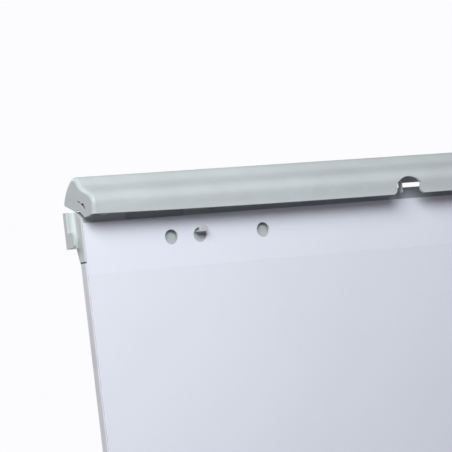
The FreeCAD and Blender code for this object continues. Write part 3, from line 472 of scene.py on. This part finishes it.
def recess_cutter():
    """Two crossed bars in the top of the head, narrower at their foot."""
    build = bmesh.new()
    for long, wide in ((RECESS_ARM, RECESS_WIDE / 2), (RECESS_WIDE / 2, RECESS_ARM)):
        bar = bmesh.ops.create_cube(build, size=1.0)["verts"]
        bmesh.ops.scale(build, verts=bar, vec=Vector((2 * long, 2 * wide, 2 * RECESS_DEEP)) * MM)
        bmesh.ops.translate(build, verts=bar, vec=(0, 0, HEAD_THICK * MM))
        for vertex in bar:
            if vertex.co.z < HEAD_THICK * MM:
                vertex.co.xy *= RECESS_TAPER
    return link_new("recess", mesh_from(build, "recess"))


def crossed_screw():
    """The mesh of a screw with the cross recess cut into its head."""
    screw = plain_screw()
    cutter = recess_cutter()
    cut = screw.modifiers.new("recess", "BOOLEAN")
    cut.object = cutter
    cut.solver = "EXACT"
    cut.use_self = True
    mesh = final_mesh(screw)
    bpy.data.objects.remove(cutter)
    return mesh


def seat_of(points, facing):
    """The middle of a plain CAD screw's seat, found from the points of its head."""
    along = [point.dot(facing) for point in points]
    seat = max(along) - HEAD_THICK * MM
    head = [point for point, height in zip(points, along) if height > seat - SEAT_SLACK * MM]
    centre = sum(head, Vector()) / len(head)
    return centre + facing * (seat - centre.dot(facing))


def crossed_screws(node, body, facing):
    """Cross-head screws in place of a node's plain ones; facing is where their heads look, on the board."""
    screw = crossed_screw()
    upright = Vector((0, 0, 1)).rotation_difference(facing).to_matrix().to_4x4()
    joined = bmesh.new()
    for number, points in enumerate(islands(node)):
        spin = Matrix.Rotation(SCREW_TURN * number, 4, "Z")
        seat = Matrix.Translation(seat_of(points, facing))
        take_in(joined, screw.copy(), BOARD @ seat @ upright @ spin)
    bpy.data.meshes.remove(screw)
    name = node + "_crossed"
    obj = link_new(name, mesh_from(joined, name))
    finish_piece(obj, "zinc", body)
    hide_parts(node)


# --- stage, in metres, with the lens and its sensor in millimetres -----------------------------------
VIEW_YAW = math.radians(32)
VIEW_DROP = math.radians(7.3)
LENS = 217.67
SENSOR_WIDTH = 36
CORNER_DISTANCE = 2.3167
CORNER_TO_LEFT = math.radians(2.989)
CORNER_ABOVE = math.radians(0.063)
FLOOR_RADIUS = 9.0
FADE_FROM = 0.35 * FLOOR_RADIUS
FADE_TO = 0.7 * FLOOR_RADIUS


def toward(azimuth, height):
    """A unit vector from angles in radians; azimuth 0 is straight in front and positive to the right."""
    level = math.cos(height)
    return Vector((math.sin(azimuth) * level, -math.cos(azimuth) * level, math.sin(height)))


def camera():
    """Stands left of the easel's front, a little above the pad's top left corner, and looks down on it."""
    backward = toward(-VIEW_YAW, VIEW_DROP)
    right = Vector((math.cos(VIEW_YAW), -math.sin(VIEW_YAW), 0))
    up = backward.cross(right)
    corner = on_board(-PAD_HALF, SHEETS_FRONT, PAD_TOP)
    ray = up * math.tan(CORNER_ABOVE) - right * math.tan(CORNER_TO_LEFT) - backward
    data = bpy.data.cameras.new("camera")
    data.sensor_width = SENSOR_WIDTH
    data.lens = LENS
    data.clip_end = 100
    obj = link_new("camera", data)
    turn = Matrix((right, up, backward)).transposed().to_4x4()
    obj.matrix_world = Matrix.Translation(corner - ray.normalized() * CORNER_DISTANCE) @ turn
    bpy.context.scene.camera = obj


def floor():
    """A large pale disc whose rim fades into the backdrop."""
    disc = bmesh.new()
    bmesh.ops.create_circle(disc, cap_ends=True, segments=96, radius=FLOOR_RADIUS)
    obj = link_new("floor", mesh_from(disc, "floor"))
    shader = Shader("floor")
    mottle = shader.noise(3, detail=4, rough=0.5)
    tone = shader.mix(shader.ramp(mottle, 0, 1), linear(238, 238, 240), linear(243, 243, 245))
    shader.feed(tone, "Base Color")
    shader.set("Roughness", 0.6)
    away = shader.node("ShaderNodeVectorMath", operation="LENGTH")
    shader.link(shader.place, away.inputs[0])
    shader.feed(shader.ramp(away.outputs["Value"], 1.0, 0.0, start=FADE_FROM, end=FADE_TO), "Alpha")
    obj.data.materials.append(shader.material)


def area_light(name, at, target, size, power, colour):
    """A round soft light that the camera doesn't see."""
    data = bpy.data.lights.new(name, "AREA")
    data.shape = "DISK"
    data.size = size
    data.energy = power
    data.color = colour
    obj = link_new(name, data)
    obj.location = at
    obj.rotation_euler = (Vector(target) - Vector(at)).to_track_quat("-Z", "Y").to_euler()
    obj.visible_camera = False


def backdrop(seen, cast):
    """A white surround that the camera sees brighter than it lights the easel."""
    world = bpy.data.worlds.new("surround")
    bpy.context.scene.world = world
    world.use_nodes = True
    tree = world.node_tree
    tree.nodes.clear()
    out = tree.nodes.new("ShaderNodeOutputWorld")
    choose = tree.nodes.new("ShaderNodeMixShader")
    rays = tree.nodes.new("ShaderNodeLightPath")
    shown = tree.nodes.new("ShaderNodeBackground")
    lighting = tree.nodes.new("ShaderNodeBackground")
    shown.inputs["Color"].default_value = seen
    lighting.inputs["Color"].default_value = cast
    tree.links.new(rays.outputs["Is Camera Ray"], choose.inputs[0])
    tree.links.new(lighting.outputs[0], choose.inputs[1])
    tree.links.new(shown.outputs[0], choose.inputs[2])
    tree.links.new(choose.outputs[0], out.inputs["Surface"])


def lights():
    """Two soft lights in front, aimed at the board's top left corner, one behind, and a dim surround."""
    corner = on_board(-330, 0, 0)
    key_at = corner + toward(math.radians(-41), math.radians(40)) * 1.5
    soft_at = corner + toward(math.radians(-15), math.radians(41)) * 2.0
    area_light("key", key_at, corner, size=1.0, power=19.2, colour=(1.0, 0.995, 0.94))
    area_light("soft_front", soft_at, corner, size=1.0, power=15.4, colour=(0.90, 0.98, 1.0))
    area_light("back", (-1.5, 3.4, 3.0), (0, 0, 0.9), size=2.2, power=60, colour=(0.96, 0.98, 1.0))
    backdrop(seen=linear(252, 252, 254), cast=(0.150, 0.126, 0.124, 1.0))
    bpy.context.scene.view_settings.view_transform = "Standard"


camera()
lights()
floor()
dress_cad_nodes()
paper_pad()
for node, facing in SCREWS_FACE.items():
    crossed_screws(node, "board", Vector(facing))
